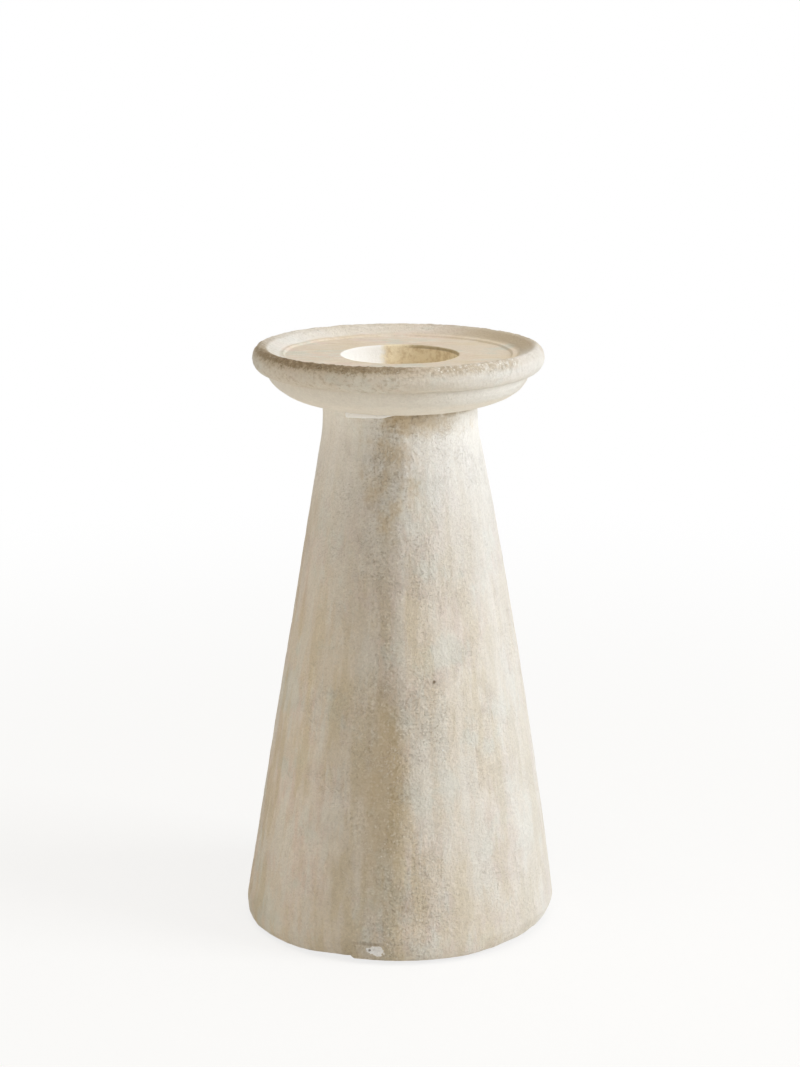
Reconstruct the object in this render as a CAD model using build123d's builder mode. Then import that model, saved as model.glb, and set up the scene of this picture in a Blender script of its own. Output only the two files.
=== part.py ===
from build123d import *
from math import acos, cos, degrees, radians, sin, tan
import os

# A turned wooden candlestick: a tapered pedestal that carries a round dish with a beaded rim, where a pillar
# candle stands, or a tealight in the well. One screw, driven down through the floor of the well, holds the
# dish on the pedestal. Felt pads are stuck under the foot. Nothing on it moves.
# Millimetres. +Z runs up the turning axis from the origin, which is on the surface that the pads stand on.

# Felt pads under the foot
PAD_COUNT = 4
PAD_DIAMETER = 12.0
PAD_THICKNESS = 1.5
PAD_EDGE_ROUND = 0.4
PAD_MARGIN = 5.0  # from a pad out to the edge of the flat foot
FIRST_PAD_ANGLE = 45.0

# Pedestal
PEDESTAL_HEIGHT = 188.5
BASE_DIAMETER = 112.0  # at its widest, just above the foot
FOOT_TUCK = 1.2  # how far the side curves in between there and the foot
FOOT_TUCK_HEIGHT = 5.7
NECK_DIAMETER = 54.6
NECK_COLLAR_HEIGHT = 8.5  # the straight top of the pedestal, under the dish
NECK_EDGE_BREAK = 0.3
SIDE_CROWN = 0.8  # how far the side swells out from a straight taper
CENTRE_MARK_DIAMETER = 6.0  # the cone that the lathe's centre leaves in the underside
CENTRE_MARK_DEPTH = 4.0

# Candle dish
RIM_DIAMETER = 102.6
RIM_BEAD_RADIUS = 4.8
RIM_ROLL_RADIUS = 1.4  # where the bead rolls over at the top
RIM_ROLL_START = 58.0  # the angle on the bead, up from level, where that begins
RIM_INNER_SLOPE = 25.0  # from there down to the ledge, in degrees from level
RIM_HEIGHT = 3.5  # from the candle seat up to the top of the rim
BELLY_INSET = 5.3  # from the outside of the rim in to the belly below it
FOOT_RING_INSET = 0.3  # from the side of the neck in to the start of the belly
SEAT_HEIGHT = 16.5  # from the pedestal's top up to the candle seat
LEDGE_WIDTH = 1.8  # the low step round the seat, inside the rim
LEDGE_HEIGHT = 0.6
WELL_DIAMETER = 41.0  # takes a tealight cup of 38 to 40 mm
WELL_DEPTH = 10.0
WELL_EDGE_ROUND = 0.5

# Countersunk wood screw
SCREW_LENGTH = 50.0
SCREW_DIAMETER = 4.5  # over the thread
SCREW_CORE_DIAMETER = 2.9
SCREW_SHANK_DIAMETER = 3.3
SCREW_PLAIN_LENGTH = 20.0  # head and plain shank, above the thread
SCREW_POINT_LENGTH = 5.0
SCREW_HEAD_DIAMETER = 8.6
SCREW_HEAD_LAND = 0.3  # the straight edge round the top of the head
SCREW_HEAD_ANGLE = 90.0
THREAD_PITCH = 2.0
THREAD_FLANK = 0.5  # half the width of a thread ridge at its root
RECESS_SPAN = 4.6
RECESS_WIDTH = 1.1
RECESS_DEPTH = 2.4
RECESS_TAPER = 5.0

# Clearances
SCREW_CLEARANCE = 0.1  # between the screw and the wood
SCREW_SINK = 0.2  # from the floor of the well down to the head
POINT_CLEARANCE = 2.0  # from the screw's point down to the end of its hole

# Levels along the axis, from the floor up
foot_level = PAD_THICKNESS
tuck_level = foot_level + FOOT_TUCK_HEIGHT
neck_level = foot_level + PEDESTAL_HEIGHT
seat_level = neck_level + SEAT_HEIGHT
ledge_level = seat_level + LEDGE_HEIGHT
rim_level = seat_level + RIM_HEIGHT
well_level = seat_level - WELL_DEPTH
screw_top = well_level - SCREW_SINK
screw_point = screw_top - SCREW_LENGTH

# Radii that more than one piece needs
foot_radius = BASE_DIAMETER / 2 - FOOT_TUCK
neck_radius = NECK_DIAMETER / 2
screw_hole_radius = SCREW_DIAMETER / 2 + SCREW_CLEARANCE

os.makedirs("parts", exist_ok=True)

# Pedestal: the foot tucks in below its widest point, and the side swells very slightly on its way up to a
# short straight collar under the dish. The screw's hole runs down from the top.
with BuildPart() as pedestal:
    with BuildSketch(Plane.XZ):
        with BuildLine():
            mark = Line((0, foot_level + CENTRE_MARK_DEPTH), (CENTRE_MARK_DIAMETER / 2, foot_level))
            Line(mark @ 1, (foot_radius, foot_level))
            tuck = EllipticalCenterArc(
                (foot_radius, tuck_level), FOOT_TUCK, FOOT_TUCK_HEIGHT, start_angle=-90, arc_size=90
            )
            side = SagittaArc(tuck @ 1, (neck_radius, neck_level - NECK_COLLAR_HEIGHT), -SIDE_CROWN)
            Polyline(side @ 1, (neck_radius, neck_level), (0, neck_level), mark @ 0)
        make_face()
    revolve(axis=Axis.Z)
    chamfer(pedestal.edges().filter_by(GeomType.CIRCLE).sort_by(Axis.Z)[-1], NECK_EDGE_BREAK)
    with Locations((0, 0, neck_level)):
        Hole(screw_hole_radius, depth=neck_level - screw_point + POINT_CLEARANCE)
pedestal.part.label = "pedestal"
export_step(pedestal.part, "parts/pedestal.step")

# Dish: a flat foot ring on the pedestal, a belly that sweeps out as a quarter of an ellipse, and a rim like a
# round bead, which stands out over the belly, rolls over at the top and slopes down inside to the low ledge.
foot_ring_radius = neck_radius - FOOT_RING_INSET
belly_radius = RIM_DIAMETER / 2 - BELLY_INSET
bead_radius = RIM_DIAMETER / 2 - RIM_BEAD_RADIUS
roll_offset = RIM_BEAD_RADIUS - RIM_ROLL_RADIUS
roll_centre = (
    bead_radius + roll_offset * cos(radians(RIM_ROLL_START)),
    rim_level - RIM_ROLL_RADIUS,
)
bead_level = roll_centre[1] - roll_offset * sin(radians(RIM_ROLL_START))
crease_angle = degrees(acos((belly_radius - bead_radius) / RIM_BEAD_RADIUS))
roll_turn = 90 + RIM_INNER_SLOPE - RIM_ROLL_START

head_radius = SCREW_HEAD_DIAMETER / 2
head_slope = tan(radians(SCREW_HEAD_ANGLE / 2))
countersink_radius = (
    head_radius
    + (SCREW_SINK + SCREW_HEAD_LAND) * head_slope
    + SCREW_CLEARANCE / cos(radians(SCREW_HEAD_ANGLE / 2))
)

with BuildPart() as dish:
    with BuildSketch(Plane.XZ):
        with BuildLine():
            Line((0, neck_level), (foot_ring_radius, neck_level))
            bead = CenterArc(
                (bead_radius, bead_level), RIM_BEAD_RADIUS, -crease_angle, crease_angle + RIM_ROLL_START
            )
            roll = CenterArc(roll_centre, RIM_ROLL_RADIUS, RIM_ROLL_START, roll_turn)
            crease = bead @ 0
            EllipticalCenterArc(
                (foot_ring_radius, crease.Y),
                belly_radius - foot_ring_radius,
                crease.Y - neck_level,
                start_angle=-90,
                arc_size=90,
            )
            slope_top = roll @ 1
            ledge_radius = slope_top.X - (slope_top.Y - ledge_level) / tan(radians(RIM_INNER_SLOPE))
            seat_radius = ledge_radius - LEDGE_WIDTH
            Polyline(
                slope_top,
                (ledge_radius, ledge_level),
                (seat_radius, ledge_level),
                (seat_radius, seat_level),
                (0, seat_level),
                (0, neck_level),
            )
        make_face()
    revolve(axis=Axis.Z)
    with Locations((0, 0, seat_level)):
        Hole(WELL_DIAMETER / 2, depth=WELL_DEPTH)
    well_edges = dish.edges(Select.LAST).filter_by(GeomType.CIRCLE).sort_by(Axis.Z)
    fillet(well_edges[-1], WELL_EDGE_ROUND)
    with Locations((0, 0, well_level)):
        CounterSinkHole(screw_hole_radius, countersink_radius, counter_sink_angle=SCREW_HEAD_ANGLE)
dish.part.label = "dish"
export_step(dish.part, "parts/dish.step")

# Screw: a flat head with a cross recess, a plain shank, and rings that stand in for the helical thread.
shank_radius = SCREW_SHANK_DIAMETER / 2
core_radius = SCREW_CORE_DIAMETER / 2
cone_height = (head_radius - shank_radius) / head_slope
thread_top = screw_top - SCREW_PLAIN_LENGTH
thread_length = SCREW_LENGTH - SCREW_PLAIN_LENGTH - SCREW_POINT_LENGTH

screw_outline = [
    (0, screw_top),
    (head_radius, screw_top),
    (head_radius, screw_top - SCREW_HEAD_LAND),
    (shank_radius, screw_top - SCREW_HEAD_LAND - cone_height),
    (shank_radius, thread_top),
]
for ridge in range(int(thread_length / THREAD_PITCH)):
    ridge_top = thread_top - ridge * THREAD_PITCH
    screw_outline.append((core_radius, ridge_top))
    screw_outline.append((SCREW_DIAMETER / 2, ridge_top - THREAD_FLANK))
    screw_outline.append((core_radius, ridge_top - 2 * THREAD_FLANK))
screw_outline.append((core_radius, thread_top - thread_length))
screw_outline.append((0, screw_point))

with BuildPart() as dish_screw:
    with BuildSketch(Plane.XZ):
        with BuildLine():
            Polyline(*screw_outline, close=True)
        make_face()
    revolve(axis=Axis.Z)
    with BuildSketch(Plane.XY.offset(screw_top)):
        for angle in (0, 90):
            Rectangle(RECESS_SPAN, RECESS_WIDTH, rotation=angle)
    extrude(amount=-RECESS_DEPTH, taper=RECESS_TAPER, mode=Mode.SUBTRACT)
dish_screw.part.label = "dish_screw"
export_step(dish_screw.part, "parts/dish_screw.step")

# Felt pads: discs with an eased lower edge, spaced evenly just inside the edge of the foot.
pad_circle_radius = foot_radius - PAD_MARGIN - PAD_DIAMETER / 2
for number in range(1, PAD_COUNT + 1):
    pad_angle = FIRST_PAD_ANGLE + (number - 1) * 360 / PAD_COUNT
    pad_centre = Vector(pad_circle_radius, 0, 0).rotate(Axis.Z, pad_angle)
    with BuildPart(Plane(origin=pad_centre)) as felt_pad:
        Cylinder(PAD_DIAMETER / 2, PAD_THICKNESS, align=(Align.CENTER, Align.CENTER, Align.MIN))
        fillet(felt_pad.edges().filter_by(GeomType.CIRCLE).sort_by(Axis.Z)[0], PAD_EDGE_ROUND)
    felt_pad.part.label = f"felt_pad_{number}"
    export_step(felt_pad.part, f"parts/felt_pad_{number}.step")
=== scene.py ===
# %% [markdown]
# # A limewashed wooden candlestick
# The candlestick is two turned pieces of wood. A tall tapered pedestal carries a shallow dish with a round
# rim, a seat for a pillar candle and a well for a tealight. A screw holds the dish down, and felt pads are
# stuck under the foot. The wood has a chalky limewash, brushed on upright, rubbed back by hand and worn
# through on the rim.
#
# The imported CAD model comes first, as a fixed frame. It says where every piece is, so each new piece takes
# its heights and radii from the box of the CAD node that it stands for.

import random
from math import acos, atan2, ceil, cos, degrees, exp, hypot, pi, radians, sin, tan

import bmesh
import bpy
from mathutils import Matrix, Vector, kdtree, noise


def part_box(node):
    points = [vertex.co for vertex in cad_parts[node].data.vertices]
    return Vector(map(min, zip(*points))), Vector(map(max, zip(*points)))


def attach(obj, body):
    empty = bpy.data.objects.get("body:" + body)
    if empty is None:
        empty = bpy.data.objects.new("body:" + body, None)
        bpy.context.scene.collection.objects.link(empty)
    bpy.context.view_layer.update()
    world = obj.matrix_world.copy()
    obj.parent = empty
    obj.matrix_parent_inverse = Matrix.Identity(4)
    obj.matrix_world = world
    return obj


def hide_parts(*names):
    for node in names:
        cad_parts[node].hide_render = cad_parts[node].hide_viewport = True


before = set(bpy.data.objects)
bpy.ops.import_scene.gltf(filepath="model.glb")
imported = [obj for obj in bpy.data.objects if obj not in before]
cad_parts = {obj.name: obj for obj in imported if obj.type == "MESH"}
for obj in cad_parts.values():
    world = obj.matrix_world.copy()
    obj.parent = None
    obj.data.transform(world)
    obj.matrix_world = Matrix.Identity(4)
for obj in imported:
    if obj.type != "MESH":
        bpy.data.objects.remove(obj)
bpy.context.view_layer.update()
print("CAD nodes:", sorted(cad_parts))

# %% [markdown]
# ## Units
# Blender works in metres, but turned work is easier to read in millimetres, so every outline and every
# height here is in millimetres and is scaled once, when the mesh is finished.

# %% Levels and radii from the frame, in millimetres
MM = 0.001


def node_box(node):
    """The lowest and highest corners of a CAD node, in millimetres."""
    low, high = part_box(node)
    return low / MM, high / MM


pedestal_low, pedestal_high = node_box("pedestal")
dish_high = node_box("dish")[1]
screw_low = node_box("dish_screw")[0]

foot_level = pedestal_low.z
neck_level = pedestal_high.z
rim_level = dish_high.z
base_radius = pedestal_high.x
rim_radius = dish_high.x
print("foot", round(foot_level, 2), "neck", round(neck_level, 2), "rim", round(rim_level, 2))

# %% [markdown]
# ## Where things are round the piece
# A turned piece has no front, but wear does. Places round it are given as an angle in degrees from the side
# that faces the camera, positive to the right, and a height. What changes round the piece is a short table
# of angles and values. Both the mesh and the finish use these places, so a chip in the wood gets its own
# colour.

# %% Angles, tables and humps
def place(angle, radius, height):
    """The point at an angle from the front, a radius and a height."""
    return Vector((radius * sin(radians(angle)), -radius * cos(radians(angle)), height))


def angle_of(point):
    """The angle of a point from the front, in degrees, positive to the right."""
    return degrees(atan2(point.x, -point.y))


def by_angle(table, angle):
    """Reads a table of (angle, value) rows from -180 to 180, with straight lines between them."""
    for (first, low), (last, high) in zip(table, table[1:]):
        if first <= angle <= last:
            return low + (high - low) * (angle - first) / (last - first)
    return table[0][1]


def hump(distance, width):
    """A smooth hump: 1 in the middle and close to 0 at twice its width."""
    return exp(-((distance / width) ** 2))


def ease(value, low, high):
    """0 below low, 1 above high, and a smooth step between them."""
    share = min(1.0, max(0.0, (value - low) / (high - low)))
    return share * share * (3 - 2 * share)


# %% [markdown]
# The chip and the one deep pit are both cut into the wood and painted, so their places are set once, here.
# The lower corner of the foot is rubbed away by a different amount at each angle, and below zero it is left
# proud.

# %% Places of the chip, the pit and the rubbed foot
CHIP_ANGLE = -8.8
CHIP_HEIGHT = foot_level + 3.6
CHIP_WIDTH = 6.8
CHIP_TALL = 4.0
PIT_ANGLE = 16.2
PIT_HEIGHT = foot_level + 97.0
PIT_SPREAD = 1.5
FOOT_CUT = [
    (-180, 0.3), (-95, 0.0), (-72, -0.3), (-40, -0.25), (-33, 0.0), (-28, 0.35), (-18.6, 0.7), (-17.4, 0.0),
    (26, 0.0), (34, 0.3), (42, 0.5), (50, 0.7), (62, 0.8), (80, 0.8), (120, 0.6), (180, 0.3),
]
print("chip at", CHIP_ANGLE, "degrees, pit at", PIT_ANGLE, "degrees")

# %% [markdown]
# ## Turning an outline
# A lathe makes a shape by its outline alone, and so does a spin: an outline of a few vertices is turned
# once round the Z axis and merged with itself. The outline is cut into short steps first, because the
# surface is weathered afterwards by moving its vertices, and a long face has nothing to move.

# %% Outline helpers
def steps_between(start, end, step):
    """Points from start up to, but without, end, no more than a step apart."""
    start, end = Vector(start), Vector(end)
    count = max(1, ceil((end - start).length / step))
    return [start.lerp(end, i / count) for i in range(count)]


def bowed(start, end, crown, step):
    """The same, along a side that swells outwards by a crown at its middle."""
    start, end = Vector(start), Vector(end)
    along = (end - start).normalized()
    outwards = Vector((along.y, -along.x))
    count = max(1, ceil((end - start).length / step))
    shares = [i / count for i in range(count)]
    return [start.lerp(end, t) + outwards * crown * 4 * t * (1 - t) for t in shares]


def arc(centre, radii, first, last, step):
    """Points round an ellipse's arc, angles in degrees, up to but without the last."""
    length = abs(radians(last - first)) * max(radii)
    count = max(2, ceil(length / step))
    turns = [radians(first + (last - first) * i / count) for i in range(count)]
    return [Vector((centre[0] + radii[0] * cos(a), centre[1] + radii[1] * sin(a))) for a in turns]


def turn(outline, segments, closed=False, span=360.0):
    """Spins an outline of (radius, height) points, from the front to the right, into a bmesh."""
    bm = bmesh.new()
    verts = [bm.verts.new((0, -p[0], p[1])) for p in outline]
    pairs = list(zip(verts, verts[1:]))
    if closed:
        pairs.append((verts[-1], verts[0]))
    edges = [bm.edges.new(pair) for pair in pairs]
    bmesh.ops.spin(
        bm, geom=verts + edges, cent=(0, 0, 0), axis=(0, 0, 1), dvec=(0, 0, 0),
        angle=radians(span), steps=segments, use_merge=span == 360.0,
    )
    bmesh.ops.remove_doubles(bm, verts=bm.verts, dist=0.0001)
    bmesh.ops.recalc_face_normals(bm, faces=bm.faces)
    return bm


def weather(bm, amount):
    """Moves each vertex along its own normal by amount(point, normal), in millimetres."""
    bm.normal_update()
    moves = [(v, v.normal * amount(v.co, v.normal)) for v in bm.verts]
    for v, move in moves:
        v.co += move


def dent(bm, places):
    """Presses round pits into a surface, from a list of (point, size, depth)."""
    bm.normal_update()
    verts = list(bm.verts)
    finder = kdtree.KDTree(len(verts))
    for i, v in enumerate(verts):
        finder.insert(v.co, i)
    finder.balance()
    for point, size, depth in places:
        for co, i, distance in finder.find_range(point, 2.5 * size):
            verts[i].co -= verts[i].normal * depth * hump(distance, size)


def finish_piece(bm, name, crease=35):
    """Scales the mesh to metres, smooths it up to its creases and makes it a piece on the root body."""
    for face in bm.faces:
        face.smooth = True
    for edge in bm.edges:
        if edge.is_manifold and edge.calc_face_angle() > radians(crease):
            edge.smooth = False
    bmesh.ops.scale(bm, vec=(MM, MM, MM), verts=bm.verts)
    mesh = bpy.data.meshes.new(name)
    bm.to_mesh(mesh)
    bm.free()
    piece = bpy.data.objects.new(name, mesh)
    bpy.context.scene.collection.objects.link(piece)
    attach(piece, "root")
    triangles = sum(len(p.vertices) - 2 for p in mesh.polygons)
    print(name, "has", triangles, "triangles")
    return piece


# %% [markdown]
# ## The pedestal
# The side is almost straight, with a very slight swell, and ends in a short straight collar under the dish.
# Below its widest point it tucks in to a flat foot. The underside keeps the cone of the lathe's centre, and
# the top has the screw's hole, so the mesh is the whole piece of wood.

# %% Outline of the pedestal
FOOT_TUCK = 1.2
FOOT_TUCK_HEIGHT = 5.7
NECK_RADIUS = 27.3
COLLAR_HEIGHT = 8.5
NECK_EDGE_BREAK = 0.3
SIDE_CROWN = 0.8
CENTRE_MARK_RADIUS = 3.0
CENTRE_MARK_DEPTH = 4.0
SCREW_HOLE_RADIUS = 2.35
SCREW_POINT_CLEARANCE = 2.0
SIDE_STEP = 0.86
EDGE_STEP = 0.6
FLAT_STEP = 3.0
PLAIN_STEP = 60.0

foot_radius = base_radius - FOOT_TUCK
tuck_level = foot_level + FOOT_TUCK_HEIGHT
collar_level = neck_level - COLLAR_HEIGHT
break_level = neck_level - NECK_EDGE_BREAK
neck_top_radius = NECK_RADIUS - NECK_EDGE_BREAK
hole_bottom = screw_low.z - SCREW_POINT_CLEARANCE

pedestal_outline = (
    steps_between((0, foot_level + CENTRE_MARK_DEPTH), (CENTRE_MARK_RADIUS, foot_level), PLAIN_STEP)
    + steps_between((CENTRE_MARK_RADIUS, foot_level), (foot_radius, foot_level), FLAT_STEP)
    + arc((foot_radius, tuck_level), (FOOT_TUCK, FOOT_TUCK_HEIGHT), -90, 0, EDGE_STEP)
    + bowed((base_radius, tuck_level), (NECK_RADIUS, collar_level), SIDE_CROWN, SIDE_STEP)
    + steps_between((NECK_RADIUS, collar_level), (NECK_RADIUS, break_level), SIDE_STEP)
    + steps_between((NECK_RADIUS, break_level), (neck_top_radius, neck_level), EDGE_STEP)
    + steps_between((neck_top_radius, neck_level), (SCREW_HOLE_RADIUS, neck_level), PLAIN_STEP)
    + steps_between((SCREW_HOLE_RADIUS, neck_level), (SCREW_HOLE_RADIUS, hole_bottom), PLAIN_STEP)
    + [Vector((SCREW_HOLE_RADIUS, hole_bottom)), Vector((0, hole_bottom))]
)
print("pedestal outline:", len(pedestal_outline), "points")

# %% [markdown]
# Hand finishing leaves the side a little uneven: long upright ripples from the brush and the sandpaper,
# small lumps where the wash is thick, and a few pits. The noise is read on a cylinder, where the angle is
# kept and the height is squeezed, so each ripple runs up the side and fans out with the taper.

# %% Weathering of the pedestal
PEDESTAL_SEGMENTS = 384
RIPPLE_DEPTH = 0.10
LUMP_DEPTH = 0.10
OUT_OF_ROUND = 0.16
SIDE_BEND = 0.9
SEAM_CRACK_ANGLE = 56.0
SEAM_CRACK_SPREAD = 9.0
SEAM_CRACK_DEPTH = 0.6
SEAM_CRACK_TALL = 1.6
CHIP_DEPTH = 0.8
COLLAR_BLEND = 6.0
COLLAR_PASSES = 30
FOOT_WEAR_REACH = 8.0
PIT_COUNT = 120
SEED = 11


def side_point(point, radius, squeeze):
    """A point on a cylinder of that radius at the same angle, with its height squeezed."""
    around = max(hypot(point.x, point.y), 0.001)
    return Vector((point.x / around * radius, point.y / around * radius, point.z * squeeze))


def pedestal_weather(point, normal):
    """How far the limewashed side stands out or in at a point of the pedestal."""
    around = hypot(point.x, point.y)
    if around < neck_top_radius - 0.01:
        return 0.0
    on_side = min(1.0, abs(normal.x) + abs(normal.y))
    fade = 0.25 + 0.75 * ease(neck_level - point.z, 0, 4)
    angle = angle_of(point)
    ripple = noise.noise(side_point(point, 14.0, 0.03)) + 0.6 * noise.noise(side_point(point, 31.0, 0.05))
    lump = noise.fractal(point * 0.16, 0.9, 2.1, 4)
    wobble = noise.noise(point * 0.022 + Vector((7, 3, 5)))
    amount = fade * (ripple * RIPPLE_DEPTH + lump * LUMP_DEPTH + wobble * OUT_OF_ROUND)
    chip_across = radians(angle - CHIP_ANGLE) * around / (CHIP_WIDTH / 2)
    chip_up = (point.z - CHIP_HEIGHT) / (CHIP_TALL / 2)
    ragged = 1 + 0.35 * noise.noise(point * 0.7)
    if abs(chip_across) < 3:
        amount -= CHIP_DEPTH * hump(hypot(chip_across, chip_up), ragged)
    crack = hump(angle - SEAM_CRACK_ANGLE, SEAM_CRACK_SPREAD)
    crack *= ease(point.z, break_level - SEAM_CRACK_TALL, break_level)
    return (amount - SEAM_CRACK_DEPTH * crack) * on_side


def wear_foot(bm):
    """Rubs the lower corner of the foot away, by a different amount at each angle."""
    for v in bm.verts:
        rise = v.co.z - foot_level
        around = hypot(v.co.x, v.co.y)
        if rise > FOOT_TUCK_HEIGHT or around < foot_radius - FOOT_WEAR_REACH:
            continue
        cut = by_angle(FOOT_CUT, angle_of(v.co)) * (1 + 0.25 * noise.noise(v.co * 0.25))
        share = (1 - rise / FOOT_TUCK_HEIGHT) * ease(around, foot_radius - FOOT_WEAR_REACH, foot_radius - 1)
        inward = 1 - 1.5 * cut * share / around
        v.co = Vector((v.co.x * inward, v.co.y * inward, v.co.z + 0.8 * cut * share))


def bend_side(bm):
    """Bows the whole side a little to the right, and leaves the screw's hole straight."""
    for v in bm.verts:
        rise = (v.co.z - foot_level) / (neck_level - foot_level)
        v.co.x += SIDE_BEND * 4 * rise * (1 - rise) * ease(v.co.xy.length, 4, 15)


bm = turn(pedestal_outline, PEDESTAL_SEGMENTS)
near_collar = [v for v in bm.verts if abs(v.co.z - collar_level) < COLLAR_BLEND]
collar = [v for v in near_collar if v.co.xy.length > NECK_RADIUS - 1]
for repeat in range(COLLAR_PASSES):
    bmesh.ops.smooth_vert(bm, verts=collar, factor=0.5, use_axis_x=True, use_axis_y=True, use_axis_z=False)
wear_foot(bm)
bend_side(bm)
weather(bm, pedestal_weather)

random.seed(SEED)
side_slope = (base_radius - NECK_RADIUS) / (collar_level - tuck_level)


def on_side(angle, height):
    """A point on the straight side of the pedestal."""
    return place(angle, base_radius + 0.3 - side_slope * max(0.0, height - tuck_level), height)


pits = [(on_side(PIT_ANGLE, PIT_HEIGHT), 0.6, 0.5)]
for number in range(PIT_COUNT):
    spot = on_side(random.uniform(-180, 180), random.uniform(foot_level + 4, collar_level - 4))
    pits.append((spot, random.uniform(0.7, 1.4), random.uniform(-0.12, 0.16)))
dent(bm, pits)
turned_pedestal = finish_piece(bm, "turned_pedestal")
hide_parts("pedestal")

# %% [markdown]
# ## The dish
# The outline is a closed loop, because the screw's hole goes right through. The belly is a quarter of an
# oval, a little leaner than an ellipse. The rim is a round bead that stands out over the belly, rolls over
# at the top and slopes down inside to a low, narrow ledge round the seat.

# %% Outline of the dish
RIM_BEAD_RADIUS = 4.8
RIM_ROLL_RADIUS = 1.4
RIM_ROLL_START = 58.0
RIM_INNER_SLOPE = 25.0
RIM_HEIGHT = 3.5
BELLY_INSET = 5.3
BELLY_LEAN = 0.06
FOOT_RING_INSET = 0.3
LEDGE_WIDTH = 1.8
LEDGE_HEIGHT = 0.6
LEDGE_EASE = 0.35
WELL_RADIUS = 20.5
WELL_DEPTH = 10.0
WELL_EDGE_ROUND = 0.5
COUNTERSINK_RADIUS = 4.94
DISH_STEP = 0.75
BEAD_STEP = 0.5

seat_level = rim_level - RIM_HEIGHT
ledge_level = seat_level + LEDGE_HEIGHT
well_level = seat_level - WELL_DEPTH
bead_radius = rim_radius - RIM_BEAD_RADIUS
belly_radius = rim_radius - BELLY_INSET
foot_ring_radius = NECK_RADIUS - FOOT_RING_INSET
roll_offset = RIM_BEAD_RADIUS - RIM_ROLL_RADIUS
roll_radius = bead_radius + roll_offset * cos(radians(RIM_ROLL_START))
roll_level = rim_level - RIM_ROLL_RADIUS
roll_end = 90 + RIM_INNER_SLOPE
bead_level = roll_level - roll_offset * sin(radians(RIM_ROLL_START))
crease_angle = -degrees(acos((belly_radius - bead_radius) / RIM_BEAD_RADIUS))
crease_level = bead_level + RIM_BEAD_RADIUS * sin(radians(crease_angle))
slope_radius = roll_radius + RIM_ROLL_RADIUS * cos(radians(roll_end))
slope_level = roll_level + RIM_ROLL_RADIUS * sin(radians(roll_end))
ledge_radius = slope_radius - (slope_level - ledge_level) / tan(radians(RIM_INNER_SLOPE))
seat_radius = ledge_radius - LEDGE_WIDTH
sink_level = well_level - (COUNTERSINK_RADIUS - SCREW_HOLE_RADIUS)
well_round = (WELL_RADIUS + WELL_EDGE_ROUND, seat_level - WELL_EDGE_ROUND)
ledge_edge = (seat_radius + LEDGE_EASE, ledge_level)
ledge_foot = (seat_radius - LEDGE_EASE, seat_level)

belly_reach = belly_radius - foot_ring_radius
belly_radii = (belly_reach, crease_level - neck_level)
belly = arc((foot_ring_radius, crease_level), belly_radii, -90, 0, DISH_STEP)
for point in belly:
    share = (point.x - foot_ring_radius) / belly_reach
    point.x -= BELLY_LEAN * belly_reach * 4 * share * (1 - share)

dish_outline = (
    steps_between((SCREW_HOLE_RADIUS, neck_level), (foot_ring_radius, neck_level), FLAT_STEP)
    + belly
    + arc((bead_radius, bead_level), 2 * (RIM_BEAD_RADIUS,), crease_angle, RIM_ROLL_START, BEAD_STEP)
    + arc((roll_radius, roll_level), 2 * (RIM_ROLL_RADIUS,), RIM_ROLL_START, roll_end, BEAD_STEP)
    + steps_between((slope_radius, slope_level), (ledge_radius, ledge_level), EDGE_STEP)
    + steps_between((ledge_radius, ledge_level), ledge_edge, EDGE_STEP)
    + steps_between(ledge_edge, ledge_foot, EDGE_STEP / 2)
    + steps_between(ledge_foot, (well_round[0], seat_level), DISH_STEP)
    + arc(well_round, 2 * (WELL_EDGE_ROUND,), 90, 180, WELL_EDGE_ROUND / 3)
    + steps_between((WELL_RADIUS, well_round[1]), (WELL_RADIUS, well_level), DISH_STEP)
    + steps_between((WELL_RADIUS, well_level), (COUNTERSINK_RADIUS, well_level), FLAT_STEP / 2)
    + steps_between((COUNTERSINK_RADIUS, well_level), (SCREW_HOLE_RADIUS, sink_level), EDGE_STEP)
    + steps_between((SCREW_HOLE_RADIUS, sink_level), (SCREW_HOLE_RADIUS, neck_level), FLAT_STEP)
)
print("dish outline:", len(dish_outline), "points")

# %% [markdown]
# The rim has had the most handling. Its bead is a little lumpy, and its top edge is worn coarse at the
# front left and gritty at the front right. The seat is smooth, and the little ledge round it wanders. The
# dish stands a hair to the left of the pedestal's axis, so it leans over above the neck, while the well and
# the hole stay put.

# %% Weathering of the dish
DISH_SEGMENTS = 600
RIM_WEAR = [
    (-180, 0.2), (-130, 0.25), (-100, 0.7), (-80, 1.0), (-25, 1.0), (-8, 0.85), (4, 0.7),
    (14, 0.45), (26, 0.2), (80, 0.15), (105, 0.35), (140, 0.4), (165, 0.2), (180, 0.2),
]
RIM_WOBBLE = 0.24
RIM_GRIT = 0.10
WORN_GRIT = 0.30
FINE_GRIT = 0.06
WORN_DOWN = 0.12
SEAT_RIPPLE = 0.09
LEDGE_WANDER = 0.25
DISH_LEAN = -0.65


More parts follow.
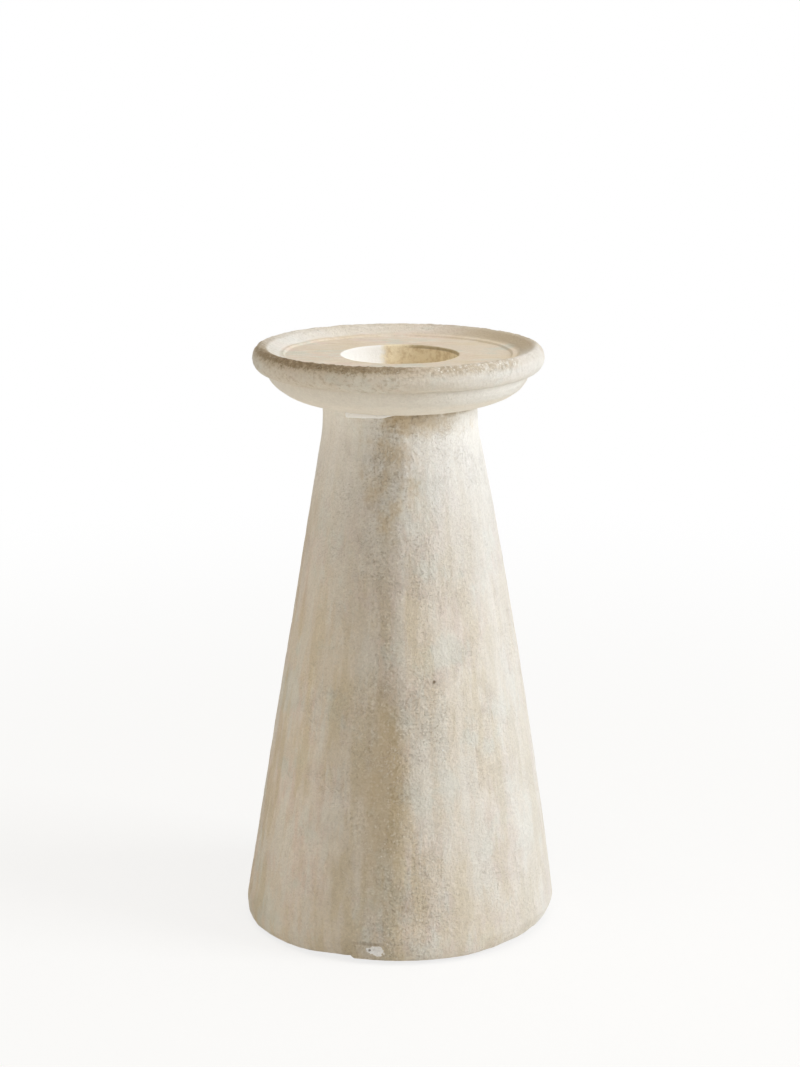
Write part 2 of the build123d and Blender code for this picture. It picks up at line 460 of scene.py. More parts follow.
def dish_weather(point, normal):
    """How far the surface of the dish stands out or in at a point."""
    around = hypot(point.x, point.y)
    if point.z < neck_level + 0.2 or around < WELL_RADIUS - 1:
        return 0.0
    angle = angle_of(point)
    wear = by_angle(RIM_WEAR, angle)
    on_bead = hump(hypot(around - bead_radius, point.z - bead_level) - RIM_BEAD_RADIUS, 0.9)
    on_bead *= ease(around, slope_radius - 3, slope_radius)
    wobble = noise.noise(side_point(point, 2.2, 0.0))
    wobble += 0.6 * noise.noise(side_point(point, 6.5, 0.06))
    coarse = noise.fractal(point * 0.45, 0.8, 2.2, 4)
    sandy = noise.noise(point * 1.2)
    upper = ease(point.z, bead_level - 1, bead_level + 3.5)
    rough = wobble * RIM_WOBBLE + coarse * (RIM_GRIT + WORN_GRIT * wear * upper) + sandy * FINE_GRIT
    soft = noise.fractal(point * 0.12, 0.9, 2.1, 3)
    ledge = hump(around - seat_radius, 2.0) * noise.noise(side_point(point, 5.0, 0.0))
    smooth = soft * SEAT_RIPPLE + ledge * LEDGE_WANDER
    return on_bead * (rough - upper * WORN_DOWN * wear) + (1 - on_bead) * smooth


bm = turn(dish_outline, DISH_SEGMENTS, closed=True)
weather(bm, dish_weather)
for v in bm.verts:
    lean = ease(v.co.z, neck_level, crease_level) * ease(v.co.xy.length, WELL_RADIUS + 1, seat_radius)
    v.co.x += DISH_LEAN * lean
turned_dish = finish_piece(bm, "turned_dish")
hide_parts("dish")

# %% [markdown]
# ## Gesso in the seam
# Where the dish sits on the neck, the front left of the seam was filled with white gesso before the wash
# went on. It starts bluntly, as a scraped knife leaves it, and thins out to the right. A small closed
# outline is turned part of the way round, its two ends are closed, and each slice is then shrunk towards
# the seam.

# %% Seam filler
FILLER_FIRST = -43.0
FILLER_LAST = 26.0
FILLER_TALL = 2.2
FILLER_PROUD = 0.6
FILLER_BED = 0.5
FILLER_SEGMENTS = 150
FILLER_STEP = 0.35

filler_bottom = neck_level - FILLER_TALL
filler_centre = (NECK_RADIUS, neck_level - FILLER_TALL / 2)
filler_outline = (
    [(NECK_RADIUS - FILLER_BED, neck_level)]
    + arc(filler_centre, (FILLER_PROUD, FILLER_TALL / 2), 90, -90, FILLER_STEP)
    + [(NECK_RADIUS, filler_bottom), (NECK_RADIUS - FILLER_BED, filler_bottom)]
)
bm = turn(filler_outline, FILLER_SEGMENTS, closed=True, span=FILLER_LAST - FILLER_FIRST)
bmesh.ops.holes_fill(bm, edges=bm.edges, sides=0)
to_first = Matrix.Rotation(radians(FILLER_FIRST), 3, "Z")
bmesh.ops.rotate(bm, verts=bm.verts, cent=(0, 0, 0), matrix=to_first)
bmesh.ops.recalc_face_normals(bm, faces=bm.faces)
for v in bm.verts:
    share = (angle_of(v.co) - FILLER_FIRST) / (FILLER_LAST - FILLER_FIRST)
    left = 1 - 0.35 * ease(share, 0.0, 0.45)
    left -= 0.5 * ease(share, 0.4, 0.6)
    left -= 0.1 * ease(share, 0.6, 1.0)
    left *= 1 + 0.15 * noise.noise(side_point(v.co, 7.0, 0.0))
    blunt = ease(share, -0.008, 0.008)
    depth = neck_level - v.co.z
    out = v.co.xy.length - NECK_RADIUS
    radius = NECK_RADIUS + out * (min(1.0, 0.3 + left) if out > 0 else 1.0) * blunt
    v.co = place(angle_of(v.co), radius, neck_level - depth * left)
weather(bm, lambda point, normal: 0.03 * noise.noise(point * 0.6))
seam_filler = finish_piece(bm, "seam_filler")

# %% [markdown]
# ## Felt pads
# The four pads are punched from pressed felt. A punched disc has a soft, slightly fuzzy edge and a bottom
# that carries the weight, so each is turned like the wood and roughened by small inward noise, which keeps
# it on the surface that it stands on.

# %% Felt pads
PAD_EDGE_ROUND = 0.4
PAD_SEGMENTS = 72
PAD_FUZZ = 0.14


def felt_disc(node):
    """A pad in the place of its CAD node."""
    low, high = node_box(node)
    middle = (low + high) / 2
    radius = (high.x - low.x) / 2
    outline = (
        steps_between((0, low.z), (radius - PAD_EDGE_ROUND, low.z), 0.5)
        + arc((radius - PAD_EDGE_ROUND, low.z + PAD_EDGE_ROUND), 2 * (PAD_EDGE_ROUND,), -90, 0, 0.15)
        + steps_between((radius, low.z + PAD_EDGE_ROUND), (radius, high.z), 0.3)
        + steps_between((radius, high.z), (0, high.z), 1.5)
        + [Vector((0, high.z))]
    )
    bm = turn(outline, PAD_SEGMENTS)
    bmesh.ops.translate(bm, vec=(middle.x, middle.y, 0), verts=bm.verts)
    weather(bm, lambda point, normal: -PAD_FUZZ * abs(noise.noise(point * 1.7)) * min(1, high.z - point.z))
    pad = finish_piece(bm, node + "_felt")
    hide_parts(node)
    return pad


pads = [felt_disc(node) for node in sorted(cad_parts) if node.startswith("felt_pad")]

# %% [markdown]
# ## Shader sums as Python
# A finish is mostly arithmetic on masks, and arithmetic is easier to read as `1 - mask * 0.4` than as a
# chain of nodes. `Wire` wraps one node output and adds a Math node for each operator. `Finish` wraps a
# material or a world, and its one method `node` makes every other node.

# %% Wires and finishes
def srgb(red, green, blue):
    """A colour as it looks on the screen, from 0 to 255, turned into the linear values that shaders use."""
    shares = [c / 255 for c in (red, green, blue)]
    return tuple(s / 12.92 if s <= 0.04045 else ((s + 0.055) / 1.055) ** 2.4 for s in shares) + (1.0,)


class Wire:
    """One output of a node, which can stand in a sum."""

    def __init__(self, finish, output):
        self.finish = finish
        self.output = output

    def math(self, operation, first, second=0.0):
        return self.finish.node("Math", {"operation": operation}, {0: first, 1: second})

    def __add__(self, other):
        return self.math("ADD", self, other)

    def __sub__(self, other):
        return self.math("SUBTRACT", self, other)

    def __rsub__(self, other):
        return self.math("SUBTRACT", other, self)

    def __mul__(self, other):
        return self.math("MULTIPLY", self, other)

    def __truediv__(self, other):
        return self.math("DIVIDE", self, other)

    def __pow__(self, other):
        return self.math("POWER", self, other)

    __radd__ = __add__
    __rmul__ = __mul__

    def above(self, other):
        """The larger of the two."""
        return self.math("MAXIMUM", self, other)

    def size(self):
        """The value without its sign."""
        return self.math("ABSOLUTE", self)

    def twin(self, name):
        """Another output of the same node."""
        return Wire(self.finish, self.output.node.outputs[name])

    def scaled(self, factor):
        """A vector or a colour, multiplied by a factor."""
        return self.finish.node("VectorMath", {"operation": "SCALE"}, {0: self, "Scale": factor})

    def moved(self, offset):
        """A vector with another added to it."""
        return self.finish.node("VectorMath", {"operation": "ADD"}, {0: self, 1: offset})


class Finish:
    """The nodes of a material or a world."""

    def __init__(self, owner):
        self.owner = owner
        self.owner.use_nodes = True
        self.tree = owner.node_tree

    def node(self, kind, settings=None, inputs=None, output=0):
        """Adds a node, sets its settings and then its sockets' values or links, and returns one output."""
        made = self.tree.nodes.new("ShaderNode" + kind)
        for setting, value in (settings or {}).items():
            if setting == "stops":
                ramp = made.color_ramp.elements
                ramp[0].position, ramp[0].color = value[0]
                ramp[1].position, ramp[1].color = value[-1]
                for position, colour in value[1:-1]:
                    ramp.new(position).color = colour
            else:
                setattr(made, setting, value)
        for socket, value in (inputs or {}).items():
            self.feed(made.inputs[socket], value)
        return Wire(self, made.outputs[output])

    def feed(self, socket, value):
        """Links a wire to a socket, or sets the socket's value."""
        if isinstance(value, Wire):
            self.tree.links.new(value.output, socket)
        else:
            socket.default_value = value

    def surface(self, **sockets):
        """Sets or links the main shader's sockets: base_color for Base Color, and so on."""
        shader = self.tree.nodes["Principled BSDF"]
        for name, value in sockets.items():
            self.feed(shader.inputs[name.replace("_", " ").title().replace("Ior", "IOR")], value)

    def point(self):
        """The position on the piece, in millimetres."""
        return self.node("TexCoord", output="Object").scaled(1 / MM)

    def noise(self, vector, scale, detail=3.0, roughness=0.5):
        """Noise from 0 to 1, with features about 1 / scale across."""
        return self.node("TexNoise", None, {
            "Vector": vector, "Scale": scale, "Detail": detail, "Roughness": roughness})

    def between(self, value, low, high):
        """0 where the value is at low, 1 where it is at high, and a smooth step between them."""
        return self.node("MapRange", {"interpolation_type": "SMOOTHSTEP"}, {
            "Value": value, "From Min": low, "From Max": high})

    def mix(self, share, first, second):
        """A blend of two colours."""
        return self.node("Mix", {"data_type": "RGBA"}, {0: share, 6: first, 7: second}, 2)

    def specks(self, vector, scale, radius, share):
        """1 in round specks of a radius, in a share of the cells, 1 / scale wide, of an uneven net."""
        away = self.node("TexVoronoi", None, {"Vector": vector, "Scale": scale}, "Distance")
        chance = self.node("SeparateXYZ", None, {0: away.twin("Color")})
        chosen = 1 - self.between(chance, share - 0.01, share + 0.01)
        return (1 - self.between(away, 0.5 * radius * scale, radius * scale)) * chosen

    def ridges(self, vector, scale, width):
        """Thin winding lines, where a noise crosses its middle value."""
        level = self.noise(vector, scale, 3.0, 0.6)
        return 1 - self.between((level - 0.5).size(), 0.0, width)

    def relief(self, height, distance):
        """Turns a height from 0 to 1 into a bumped normal, for relief of that many millimetres."""
        return self.node("Bump", None, {"Height": height, "Distance": distance * MM, "Strength": 1.0})

    def report(self):
        """Prints how many nodes the finish took."""
        print(self.owner.name, "has", len(self.tree.nodes), "nodes")


# %% [markdown]
# A turned piece is painted in its own coordinates: the angle round it, the reach out from the axis and the
# height. A table of angles becomes a colour ramp on the angle. Marks of the brush are noise that is read on
# a cylinder, with the height squeezed, so that they run up the side.

# %% Coordinates of a turned piece
class TurnedFinish(Finish):
    """A finish painted in angle, reach and height."""

    def __init__(self, name):
        super().__init__(bpy.data.materials.new(name))
        self.at = self.point()
        flat = self.node("VectorMath", {"operation": "MULTIPLY"}, {0: self.at, 1: (1, 1, 0)})
        self.outward = self.node("VectorMath", {"operation": "NORMALIZE"}, {0: flat})
        self.reach = self.node("VectorMath", {"operation": "LENGTH"}, {0: flat}, "Value")
        across = self.node("SeparateXYZ", None, {0: self.at})
        self.height = across.twin("Z")
        self.angle = self.node("Math", {"operation": "ARCTAN2"}, {0: across, 1: across.twin("Y") * -1.0})

    def marks(self, radius, rise):
        """Where to read noise that is drawn out up the side: a small rise makes long marks."""
        upward = self.node("CombineXYZ", None, {2: self.height * rise})
        return self.outward.scaled(radius).moved(upward)

    def by_angle(self, table, waver=0.0):
        """The value of a table of (degrees, value) rows at this angle, which may waver."""
        stops = [((degree + 180) / 360, (value, value, value, 1)) for degree, value in table]
        return self.node("ValToRGB", {"stops": stops}, {"Fac": self.angle / (2 * pi) + 0.5 + waver})

    def near(self, angle, height, width, tall):
        """The distance from a place, where 1 is the edge of an ellipse of that width and height."""
        sideways = (self.angle - radians(angle)) * self.reach / (width / 2)
        upward = (self.height - height) / (tall / 2)
        return (sideways * sideways + upward * upward) ** 0.5


# %% [markdown]
# ## The limewash
# Limewash is a thin, chalky coat. Where it is thick it is cream, and where it is rubbed thin the beige of
# the wood comes through, in soft patches that are pinkish, grey-green or ochre. The tones differ only a
# little, so that the patches show as a change of warmth more than of light and dark.

# %% Limewash shared by both turned pieces
BASE = srgb(226, 213, 194)
CREAM = srgb(240, 233, 220)
CHALK = srgb(243, 241, 236)
PINK = srgb(226, 208, 193)
SAGE = srgb(213, 211, 197)
OCHRE = srgb(217, 202, 173)
UMBER = srgb(128, 108, 82)
GESSO = srgb(248, 246, 242)


def wash(finish, patches, streaks):
    """The limewash's colour, from where its patches and its brush marks lie."""
    clouds = finish.noise(finish.at, 0.045, 4.0, 0.6)
    pink = finish.between(clouds + (patches - 0.5) * 0.6, 0.46, 0.6)
    colour = finish.mix(pink * 0.85, BASE, PINK)
    elsewhere = finish.noise(finish.at.moved((300, 120, 60)), 0.05, 4.0, 0.6)
    sage = finish.between(elsewhere + (streaks - 0.5) * 0.4, 0.5, 0.64)
    colour = finish.mix(sage * 0.75, colour, SAGE)
    ochre = finish.between(patches - elsewhere * 0.6, 0.2, 0.34)
    colour = finish.mix(ochre * 0.5, colour, OCHRE)
    cream = finish.between(streaks + (clouds - 0.5) * 0.6, 0.5, 0.64)
    return finish.mix(cream * 0.3, colour, CREAM)


def curled_crust(finish):
    """Short curled ridges in sparse patches, where the wash dried in a crust."""
    lines = finish.ridges(finish.at, 0.5, 0.035)
    return lines * finish.between(finish.noise(finish.at, 0.09, 4.0, 0.65), 0.5, 0.62)


# %% [markdown]
# On the pedestal the marks run upright. Long strokes of the brush are ochre or pale grey and strongest near
# the foot, with shorter marks between them. Tables of angles say how light the side is painted round it,
# which is partly the wash and partly painted shade, how chalky it is, which on the key-lit right is partly
# a painted highlight, and how sandy. The darkest strip, partly painted shade where the key's light ends, is
# a little to the left of the front, and the sandiest is right at the front.

# %% Finish of the pedestal
# Tone round the side: partly the wash, partly painted shade that darkens the side left of the front.
TONE_AND_SHADE = [
    (-180, 1.0), (-90, 1.0), (-62, 1.03), (-48, 1.03), (-36, 0.97), (-24, 0.90), (-13, 0.86), (-5, 0.85),
    (0, 0.91), (3, 0.99), (12, 1.01), (24, 1.0), (37, 0.99), (53, 0.985), (75, 0.98), (120, 0.97),
    (180, 1.0),
]
# Chalky wash round the side, strongest on the key-lit right, where it is partly a painted highlight.
CHALK_AND_HIGHLIGHT = [
    (-180, 0.35), (-120, 0.2), (-60, 0.1), (5, 0.1), (24, 0.3),
    (40, 0.35), (55, 0.55), (100, 0.6), (140, 0.45), (180, 0.35),
]
SANDY = [(-180, 0.25), (-60, 0.25), (-28, 0.45), (-12, 1.0), (14, 1.0), (24, 0.5), (60, 0.35), (180, 0.25)]
CHALK_AND_LIGHT_FROM = foot_level + 118.0
NECK_PAINTED_LIGHT = 0.085
MARKS_RADIUS = 42.0

coat = TurnedFinish("limewash_upright")
patches = coat.noise(coat.marks(MARKS_RADIUS, 0.42), 0.085, 4.0, 0.6)
streaks = coat.noise(coat.marks(MARKS_RADIUS, 0.40), 0.24, 4.0, 0.6)
grain = coat.noise(coat.at, 0.9, 5.0, 0.68)
sand = coat.noise(coat.at, 2.2, 3.0, 0.6)
colour = wash(coat, patches, streaks)
strokes = coat.noise(coat.marks(MARKS_RADIUS, 0.16), 0.16, 4.0, 0.6)
low = 1 - coat.between(coat.height, foot_level + 70.0, neck_level - 20.0) * 0.6
colour = coat.mix(coat.between(strokes, 0.5, 0.62) * low * 0.55, colour, srgb(216, 198, 162))
colour = coat.mix((1 - coat.between(strokes, 0.38, 0.5)) * low * 0.6, colour, srgb(224, 219, 208))
waver = (coat.noise(coat.at, 0.06, 4.0, 0.6) - 0.5) * 0.07
# Whitens the key-lit right with chalk, partly a painted highlight.
colour = coat.mix(coat.by_angle(CHALK_AND_HIGHLIGHT, waver), colour, CHALK)
# Near the top the wash turns chalky; this also paints light onto the neck where the dish shades it.
chalk_and_neck_light = coat.between(coat.height + (patches - 0.5) * 90.0, CHALK_AND_LIGHT_FROM, neck_level)
colour = coat.mix(chalk_and_neck_light * 0.75, colour, CHALK)
sandy = coat.by_angle(SANDY, waver) * (0.5 + coat.between(patches, 0.4, 0.6) * 0.8)
# The tone round the side is partly painted shade, darkest just left of the front.
shade = coat.by_angle(TONE_AND_SHADE, waver) + (patches - 0.5) * 0.18 + (streaks - 0.5) * 0.14
shade = shade - (strokes - 0.5) * low * 0.22
shade = shade - (1 - coat.between(coat.height, foot_level, foot_level + 90.0)) * 0.03
# Painted light: the neck is lightened under the dish, where the dish's shade falls.
shade = shade + coat.between(coat.height, neck_level - 55.0, neck_level - 8.0) * NECK_PAINTED_LIGHT
colour = colour.scaled(shade + (grain - 0.5) * (0.26 + sandy * 0.3) + (sand - 0.5) * 0.22)

# %% [markdown]
# Wear, stains and painted shade are ellipses on the side with torn edges: the distance from a place, with
# noise added, is cut off softly. A patch that was rubbed hard runs down the front, partly painted shade
# where the key's light ends. Brown stains hang under the dish, partly the dish's painted shadow on the
# neck, and a thin painted shadow line lies right under the belly.

# %% Rubbed front, stains and painted shadow of the pedestal
RUBBED_SHADE_ANGLE = -6.0
RUBBED_SHADE_HEIGHT = foot_level + 61.0
RUBBED_SHADE_WIDTH = 17.0
RUBBED_SHADE_TALL = 84.0
STAINS_AND_DISH_SHADOW = [(-9.0, neck_level - 18.0, 13.0, 40.0), (16.0, neck_level - 3.0, 30.0, 12.0)]

edge_noise = (grain - 0.5) * 0.9 + (patches - 0.5) * 1.6
# Painted shade in part: the rubbed strip down the front darkens the side where the key's light ends.
rubbed_and_shaded = coat.near(RUBBED_SHADE_ANGLE, RUBBED_SHADE_HEIGHT, RUBBED_SHADE_WIDTH, RUBBED_SHADE_TALL) + edge_noise
colour = coat.mix((1 - coat.between(rubbed_and_shaded, 0.3, 1.3)) * 0.7, colour, srgb(192, 172, 138))
torn = edge_noise + (coat.noise(coat.at, 0.13, 4.0, 0.6) - 0.5) * 3.0
# The brown stains under the dish are partly the dish's painted shadow on the neck.
for angle, height, width, tall in STAINS_AND_DISH_SHADOW:
    stain_and_shadow = coat.near(angle, height, width, tall) + torn
    colour = coat.mix((1 - coat.between(stain_and_shadow, 0.1, 1.5)) * 0.65, colour, srgb(204, 180, 140))
# A painted shadow: a thin brown line right under the belly of the dish, on the right.
painted_shadow_under_dish = coat.between(coat.height, neck_level - 2.2, neck_level - 0.4)
painted_shadow_under_dish = painted_shadow_under_dish * coat.between(coat.angle, radians(-4), radians(12))
colour = coat.mix(painted_shadow_under_dish * coat.between(streaks, 0.3, 0.55) * 0.7, colour, srgb(176, 155, 122))

# %% [markdown]
# Fine sand in the wash shows as a grain of pale crumbs and darker pores, with crusts that curl up and a few
# white flecks. The pores are darker partly as painted shade in their pits, most at the front, where the
# key's light grazes the side. The deep pit shows the bare, dark wood.

# %% Crusts, sand, flecks and the pit
crusts = curled_crust(coat) * (0.4 + sandy * 0.6)
colour = coat.mix(crusts * 0.55, colour, CREAM)
crumbs = coat.specks(coat.at, 0.9, 0.55, 0.4) * sandy
colour = coat.mix(crumbs * 0.3, colour, CREAM)
# The pores are darker partly as painted shade in their pits.
pores_and_pit_shade = coat.between(coat.noise(coat.at, 1.3, 4.0, 0.7), 0.56, 0.64) * sandy
colour = coat.mix(pores_and_pit_shade * 0.3, colour, srgb(172, 148, 110))
flecks = coat.specks(coat.at, 0.14, 0.42, 0.10)
colour = coat.mix(flecks * 0.8, colour, GESSO)
main_pit = 1 - coat.between(coat.near(PIT_ANGLE, PIT_HEIGHT, PIT_SPREAD, PIT_SPREAD), 0.4, 1.0)
colour = coat.mix(main_pit * 0.85, colour, UMBER)

# %% [markdown]
# The chip at the foot is bare white gesso with a dark speck in it, and a brown hairline runs over it. The
# relief is last, because it adds up every grain, stroke, crust and pit that the colour used.

# %% Chip at the foot, and the relief of the pedestal
ragged = coat.noise(coat.at, 0.55, 5.0, 0.65) * 1.7
chip_reach = coat.near(CHIP_ANGLE, CHIP_HEIGHT, CHIP_WIDTH, CHIP_TALL)
chip = 1 - coat.between(chip_reach + ragged, 1.6, 1.78)
colour = coat.mix(chip, colour, srgb(252, 251, 250))
speck = 1 - coat.between(coat.near(CHIP_ANGLE - 2.2, CHIP_HEIGHT + 0.2, 1.0, 1.0), 0.6, 1.2)
colour = coat.mix(speck * 0.8, colour, srgb(120, 110, 100))
hairline = coat.near(CHIP_ANGLE - 3.0, CHIP_HEIGHT + 2.6, 11.0, 1.6) + ragged * 0.8
colour = coat.mix((1 - coat.between(hairline, 1.0, 1.9)) * 0.4, colour, UMBER)
height_map = grain * (0.9 + sandy * 1.3) + sand * 0.4 + streaks * 0.4 - strokes + flecks * 0.3 - main_pit
height_map = height_map + crusts * 0.45 + crumbs * 0.3 - pores_and_pit_shade * 0.35
coat.surface(
    base_color=colour,
    roughness=0.9,
    specular_ior_level=0.2,
    normal=coat.relief(height_map, 0.4),
)
turned_pedestal.data.materials.append(coat.owner)
coat.report()

# %% [markdown]
# The dish was turned face on, so its marks run level. The belly is painted paler, partly as painted light
# that stands in for the light the floor throws up under it, and the inside of the rim is chalky.

# %% Finish of the dish
RIM_CHALK = [
    (-180, 0.1), (-150, 0.35), (-120, 0.7), (-85, 0.5), (-50, 0.1),
    (10, 0.1), (30, 0.5), (80, 0.7), (100, 0.1), (180, 0.1),
]

coat = TurnedFinish("limewash_dish")
level_marks = coat.node("VectorMath", {"operation": "MULTIPLY"}, {0: coat.at, 1: (0.4, 1, 1)})
patches = coat.noise(level_marks, 0.09, 4.0, 0.6)
streaks = coat.noise(level_marks, 0.32, 4.0, 0.6)
grain = coat.noise(coat.at, 1.0, 5.0, 0.68)
coarse = coat.noise(coat.at, 0.6, 6.0, 0.75)
sand = coat.noise(coat.at, 2.2, 3.0, 0.6)
colour = wash(coat, patches, streaks)
on_rim = coat.between(coat.reach, ledge_radius - 0.5, ledge_radius + 1.5)
below_rim = 1 - coat.between(coat.height, crease_level - 1.0, crease_level + 0.5)
# Painted light in part: the belly is paler, standing in for the light that the floor throws up under it.
colour = coat.mix(below_rim * 0.8, colour, srgb(243, 237, 226))
colour = coat.mix(on_rim * 0.35, colour, CREAM)
colour = coat.mix(coat.by_angle(RIM_CHALK) * on_rim, colour, CHALK)
shade = 1 + (patches - 0.5) * 0.14 + (streaks - 0.5) * 0.10
colour = colour.scaled(shade + (grain - 0.5) * 0.26 + (sand - 0.5) * 0.14)

# %% [markdown]
# Along the top of the rim, at the front left, the wash is worn through to dark wood with a soft brown edge.
# At the front right it is gritty with white grains. The angle round the bead's own centre says how far a
# place is from the crest. Inside, the slope of the rim is painted darker on its right, as painted shade on
# the side that faces away from the key.

# %% Worn and gritty rim
WORN_TURN = 60.0
WORN_CORE = 16.0
WORN_SPREAD = 66.0
GRITTY_ANGLE = 33.0
RIM_TINT = [
    (-180, 0.2), (-130, 0.2), (-100, 0.45), (-78, 0.8), (-60, 0.95), (-45, 1.0), (-14, 0.95), (0, 0.75),
    (10, 0.5), (24, 0.3), (80, 0.15), (105, 0.35), (140, 0.4), (165, 0.2), (180, 0.2),
]

above_bead = coat.height - bead_level
bead_turn = coat.node("Math", {"operation": "ARCTAN2"}, {0: above_bead, 1: coat.reach - bead_radius})
wear = coat.by_angle(RIM_TINT, (coat.noise(coat.at, 0.07, 2.0) - 0.5) * 0.06)
outside = coat.between(coat.reach, slope_radius - 1.6, slope_radius - 0.2)
from_top = (bead_turn - radians(WORN_TURN)).size()
around_top = 1 - coat.between(from_top, radians(WORN_CORE), radians(WORN_SPREAD))
tinted = around_top * wear * outside
colour = coat.mix(tinted * 0.85, colour, srgb(182, 162, 130))
worn = coat.between(around_top * 0.62 + wear * 0.38 + (coarse - 0.5) * 1.7, 0.62, 1.1) * outside * wear
colour = coat.mix(worn * 0.92, colour, srgb(130, 111, 84))
mottle = coat.between(coarse + (grain - 0.5) * 0.6, 0.48, 0.64) * coat.between(wear, 0.3, 0.8) * on_rim
colour = coat.mix(mottle * (1 - below_rim) * 0.4, colour, srgb(176, 156, 124))
# Painted shade on the right of the rim's inner slope, which faces away from the key.
in_shade = coat.between(coat.angle, radians(60), radians(100))
in_shade = in_shade - coat.between(coat.angle, radians(130), radians(176))
in_shade = in_shade * on_rim * (1 - outside)
colour = coat.mix(in_shade * 0.75, colour, srgb(196, 178, 148))
gritty = 1 - coat.between((coat.angle - radians(GRITTY_ANGLE)).size(), radians(12), radians(30))
on_crest = (1 - coat.between(from_top, radians(20), radians(60))) * outside
gritty_tint = gritty * on_crest * coat.between(coarse, 0.4, 0.56)
colour = coat.mix(gritty_tint * 0.6, colour, srgb(190, 170, 138))
grit = coat.specks(coat.at, 0.95, 0.5, 0.45) * gritty * on_crest
colour = coat.mix(grit * 0.7, colour, srgb(250, 245, 236))

# %% [markdown]
# The wall of the well is white gesso on its left, painted whiter where the key lights it, so it is partly a
# painted highlight. It is stained ochre on its right, with a dark line round the right of its lip.

# %% Well of the dish
inside = 1 - coat.between(coat.reach, WELL_RADIUS + 0.1, WELL_RADIUS + 0.9)
mottled = coat.noise(coat.at, 0.35, 4.0, 0.65)
beyond = coat.between(coat.angle + (mottled - 0.5) * 0.25, radians(-168), radians(-158))
# The wall is white gesso on the left, painted whiter where the key lights it, partly a painted highlight.
gesso_and_highlight_wall = beyond * (1 - coat.between(coat.angle, radians(-50), radians(-20)))
ochre_wall = coat.mix(coat.between(mottled, 0.42, 0.66) * 0.7, srgb(244, 230, 200), srgb(208, 184, 142))
colour = coat.mix(inside, colour, coat.mix(gesso_and_highlight_wall, ochre_wall, GESSO))
from_lip = (coat.height - (seat_level - WELL_EDGE_ROUND)).size()
dark_edge = (1 - coat.between(from_lip, 0.4, 0.8)) * inside * (1 - gesso_and_highlight_wall)
dark_edge = dark_edge * coat.between(coat.angle, radians(70), radians(100))
dark_edge = dark_edge * (1 - coat.between(coat.angle, radians(160), radians(179)))
colour = coat.mix(dark_edge * 0.6, colour, srgb(140, 120, 86))

# %% [markdown]
# The same curled crust lies on the rim, but it follows the level marks and thins out below the crest.

# %% Crust and relief of the dish
crusts = coat.ridges(level_marks, 0.55, 0.04) * coat.between(coarse, 0.5, 0.64) * on_rim
crusts = crusts * (0.35 + (1 - coat.between(from_top, radians(30), radians(100))) * 0.65)
colour = coat.mix(crusts * 0.4, colour, CREAM)
height_map = grain * (0.7 + on_rim * 0.9) + sand * 0.4 + streaks * 0.3
height_map = height_map + coarse * on_rim * 0.7 + crusts * 0.6
coat.surface(
    base_color=colour,
    roughness=0.9,
    specular_ior_level=0.2,
    normal=coat.relief(height_map - worn * 0.3 + grit * 0.5, 0.34),
)
turned_dish.data.materials.append(coat.owner)
coat.report()

# %% [markdown]
# ## The small pieces
# The gesso in the seam is nearly white and a little lumpy. The screw is zinc plated, with the cloudy look
# that plating has. The felt is a mat of brown fibres, so fine that it only shows as a soft mottle.

# %% Gesso in the seam
gesso = Finish(bpy.data.materials.new("bare_gesso"))
point = gesso.point()
lumps = gesso.noise(point, 0.9, 4.0, 0.6)
gesso.surface(
    base_color=gesso.mix(gesso.between(lumps, 0.25, 0.45), srgb(232, 226, 216), srgb(250, 249, 248)),
    roughness=0.85,
    specular_ior_level=0.25,
    normal=gesso.relief(lumps, 0.12),
)
seam_filler.data.materials.append(gesso.owner)
gesso.report()

# %% Zinc of the screw
zinc = Finish(bpy.data.materials.new("zinc_plate"))
point = zinc.point()
clouds = zinc.noise(point, 0.6, 4.0)
zinc.surface(
    base_color=zinc.mix(clouds, srgb(188, 188, 184), srgb(214, 212, 204)),
    metallic=1.0,
    roughness=0.28 + clouds * 0.2,
)
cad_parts["dish_screw"].data.materials.clear()
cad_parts["dish_screw"].data.materials.append(zinc.owner)
zinc.report()

# %% Felt of the pads
felt = Finish(bpy.data.materials.new("pressed_felt"))
point = felt.point()
fibres = felt.noise(point, 2.5, 5.0, 0.7)
felt.surface(
    base_color=felt.mix(fibres, srgb(92, 74, 56), srgb(150, 128, 102)),
    roughness=0.95,
    normal=felt.relief(fibres, 0.3),
)
for pad in pads:
    pad.data.materials.append(felt.owner)
felt.report()

# %% [markdown]
# ## The stage
# The floor is plain and pale. Camera rays see it lightened towards white, and more so further away, so the
# background is white without more light on the candlestick, and its shadow still shows softly.

# %% Floor and backdrop
bm = bmesh.new()
bmesh.ops.create_grid(bm, x_segments=1, y_segments=1, size=20)
floor_mesh = bpy.data.meshes.new("floor")
bm.to_mesh(floor_mesh)
bm.free()
floor = bpy.data.objects.new("floor", floor_mesh)
bpy.context.scene.collection.objects.link(floor)


def seen_directly(finish):
    """1 for camera, glossy and transmission rays, and 0 for the light that falls on things."""
    share = finish.node("LightPath", output="Is Camera Ray")
    return share.above(share.twin("Is Glossy Ray")).above(share.twin("Is Transmission Ray"))


FLOOR_GLOW = 0.78
floor_paint = Finish(bpy.data.materials.new("pale_floor"))
paint = floor_paint.node("BsdfDiffuse", None, {"Color": (0.93, 0.91, 0.86, 1)})
glow = floor_paint.node("Emission", None, {"Color": (1, 1, 1, 1)})
away = floor_paint.node("VectorMath", {"operation": "LENGTH"}, {0: floor_paint.point()}, "Value")
share = FLOOR_GLOW + (1 - FLOOR_GLOW) * floor_paint.between(away, 150, 700)
blend = floor_paint.node("MixShader", None, {0: share * seen_directly(floor_paint), 1: paint, 2: glow})
floor_paint.feed(floor_paint.tree.nodes["Material Output"].inputs["Surface"], blend)
floor_mesh.materials.append(floor_paint.owner)
floor_paint.report()

# %% [markdown]
# ## Light
# A large soft key stands on the right, a little behind the side of the candlestick, so the form rolls from
# light to shade near the middle. A broad soft light hangs overhead, a weak one fills the left, and the pale
# floor throws a good half of it back up under the dish.

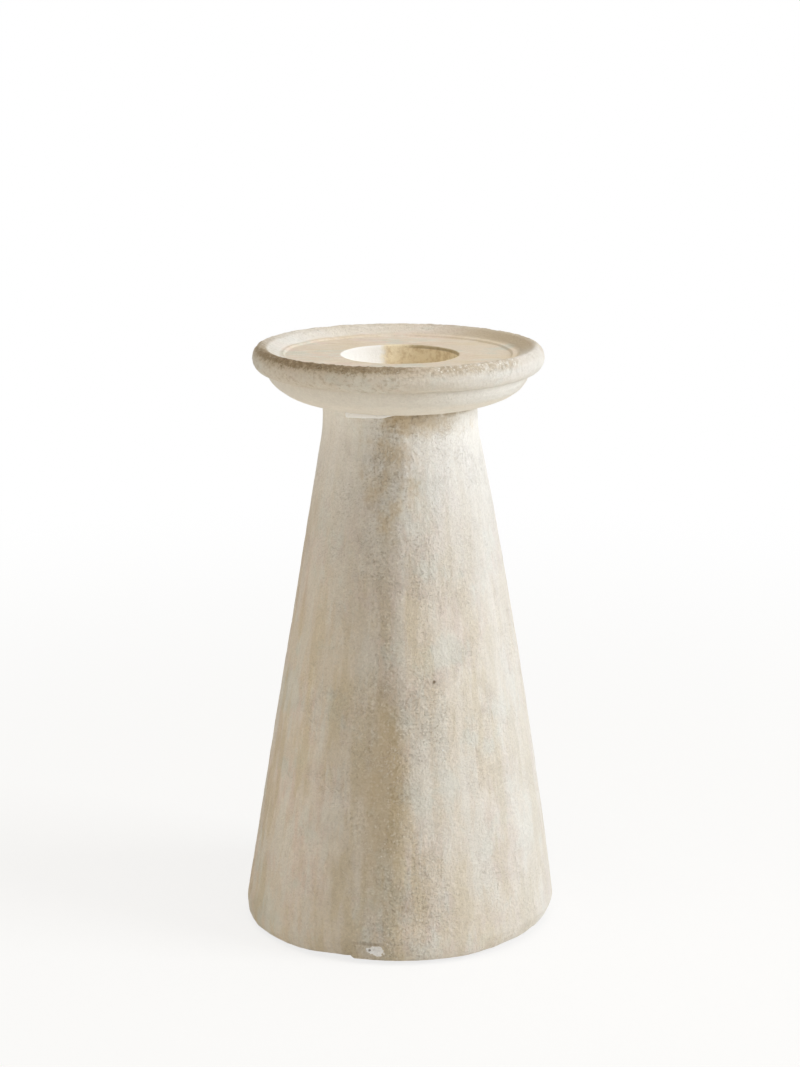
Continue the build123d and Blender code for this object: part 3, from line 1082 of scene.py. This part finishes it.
# %% Sky and softboxes
SKY_LIGHT = 0.30
sky = Finish(bpy.data.worlds.new("studio"))
bpy.context.scene.world = sky.owner
around = sky.node("Background", None, {"Color": (1.0, 0.93, 0.83, 1), "Strength": SKY_LIGHT})
white = sky.node("Background", None, {"Color": (1, 1, 1, 1)})
blend = sky.node("MixShader", None, {0: seen_directly(sky), 1: around, 2: white})
sky.feed(sky.tree.nodes["World Output"].inputs["Surface"], blend)


def softbox(name, angle, elevation, distance, size, level, colour):
    """An area light that points at the candlestick's middle and lights what faces it to that level."""
    lamp = bpy.data.lights.new(name, "AREA")
    lamp.shape = "RECTANGLE"
    lamp.size, lamp.size_y = size
    lamp.energy = level * pi ** 2 * distance ** 2
    lamp.color = colour
    holder = bpy.data.objects.new(name, lamp)
    middle = Vector((0, 0, rim_level * MM / 2))
    flat_distance = distance * cos(radians(elevation))
    holder.location = middle + place(angle, flat_distance, distance * sin(radians(elevation)))
    holder.rotation_euler = (holder.location - middle).to_track_quat("Z", "Y").to_euler()
    bpy.context.scene.collection.objects.link(holder)
    print(name, "has", round(lamp.energy, 1), "watts")


softbox("key", 74, 28, 2.0, (0.9, 0.9), 0.62, (0.94, 1.0, 1.08))
softbox("overhead", 20, 82, 2.0, (1.5, 1.5), 0.40, (1.0, 0.97, 0.92))
softbox("left_fill", -66, 8, 2.0, (1.2, 1.2), 0.16, (1.0, 0.93, 0.82))

# %% [markdown]
# ## The camera
# A long lens from a little under a metre away looks down on the candlestick by thirteen degrees.

# %% Camera
CAMERA_DISTANCE = 888.0
CAMERA_HEIGHT = foot_level + 351.1
CAMERA_PITCH = 13.36
LENS = 86.24

camera_data = bpy.data.cameras.new("camera")
camera_data.lens = LENS
camera_data.sensor_width = 36.0
camera = bpy.data.objects.new("camera", camera_data)
camera.location = (0, -CAMERA_DISTANCE * MM, CAMERA_HEIGHT * MM)
camera.rotation_euler = (radians(90 - CAMERA_PITCH), 0, 0)
bpy.context.scene.collection.objects.link(camera)
bpy.context.scene.camera = camera
bpy.context.scene.view_settings.view_transform = "Standard"
print("camera with a", LENS, "mm lens,", CAMERA_DISTANCE, "mm away")
